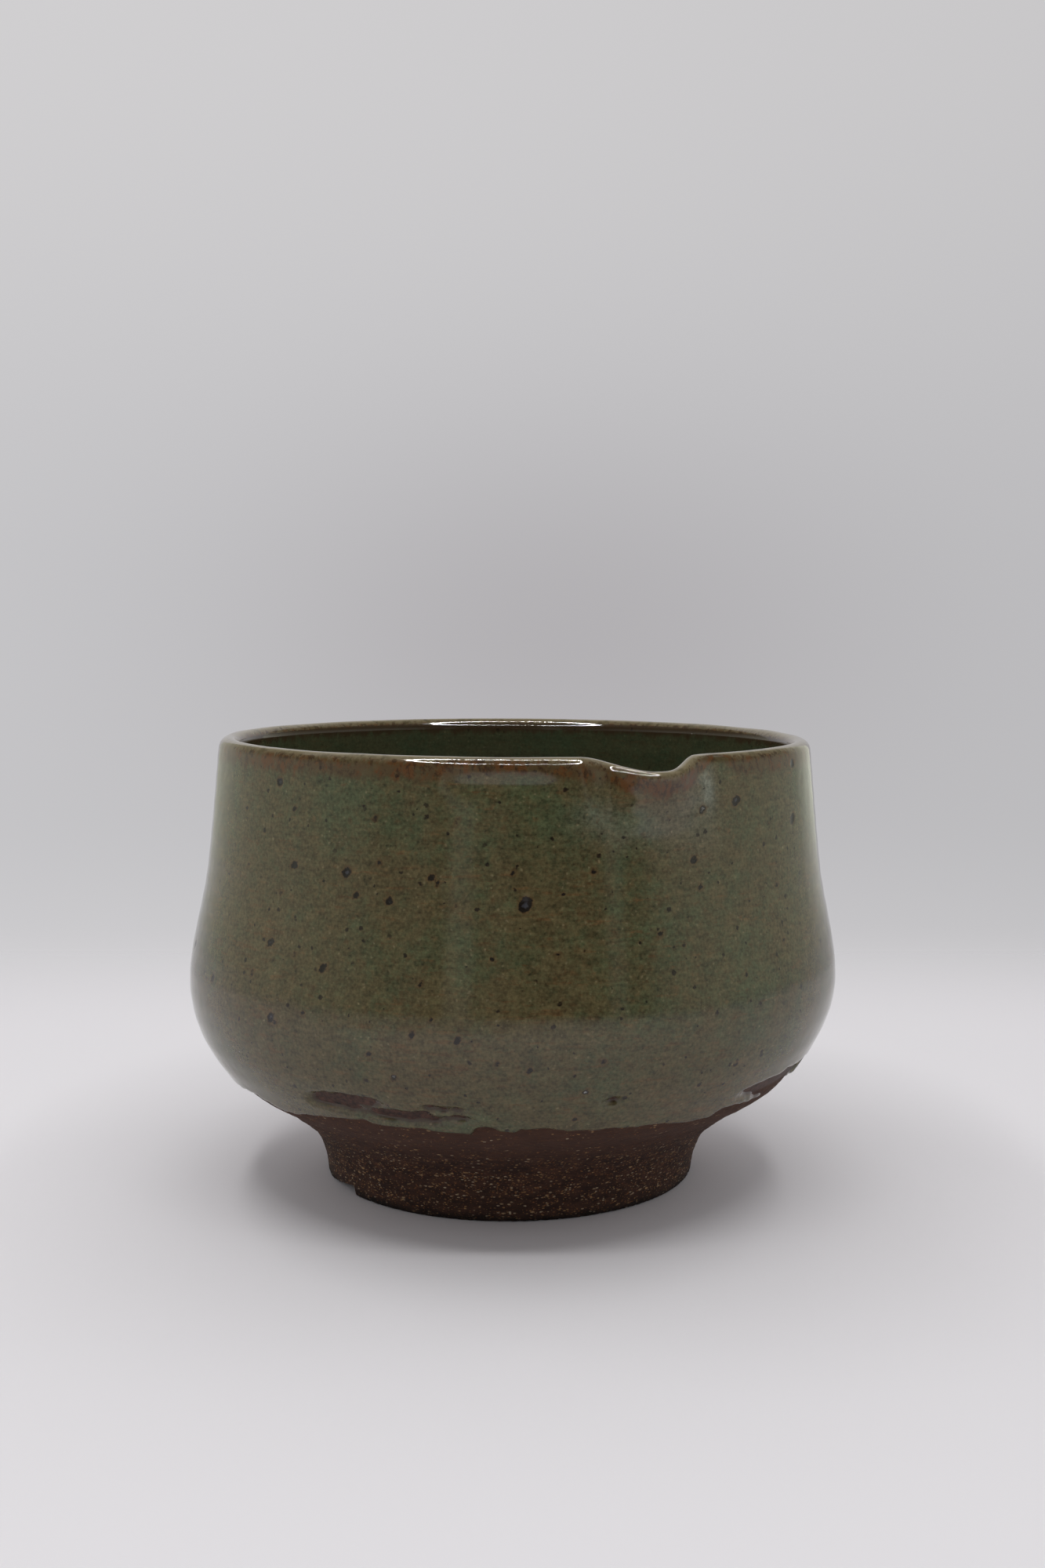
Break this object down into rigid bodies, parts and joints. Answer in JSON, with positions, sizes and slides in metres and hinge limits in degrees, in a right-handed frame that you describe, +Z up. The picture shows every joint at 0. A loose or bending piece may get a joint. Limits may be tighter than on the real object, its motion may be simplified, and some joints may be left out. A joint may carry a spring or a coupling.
{
  "type": "tea bowl",
  "caption": "Round-bellied stoneware tea bowl on a turned foot ring, glazed inside and out, with a small spout pulled in its lip.",
  "frame": {"origin": "centre of the bowl on the surface that its foot ring stands on", "axes": "+Z up out of the mouth, -Y towards the spout in the lip, +X to the right as the spout is faced"},
  "size_m": [0.1204, 0.1204, 0.0821],
  "materials": {
    "clay": "bare dark iron-bearing stoneware with pale grog",
    "outside_glaze": "glossy olive green ash glaze with iron spots, brown where it thins",
    "inside_glaze": "glossy green ash glaze, thicker and darker than outside"
  },
  "bodies": {
    "root": {"clay_bowl": "clay", "foot_ring": "clay", "inside_glaze": "inside_glaze", "outside_glaze": "outside_glaze"}
  },
  "joints": []
}
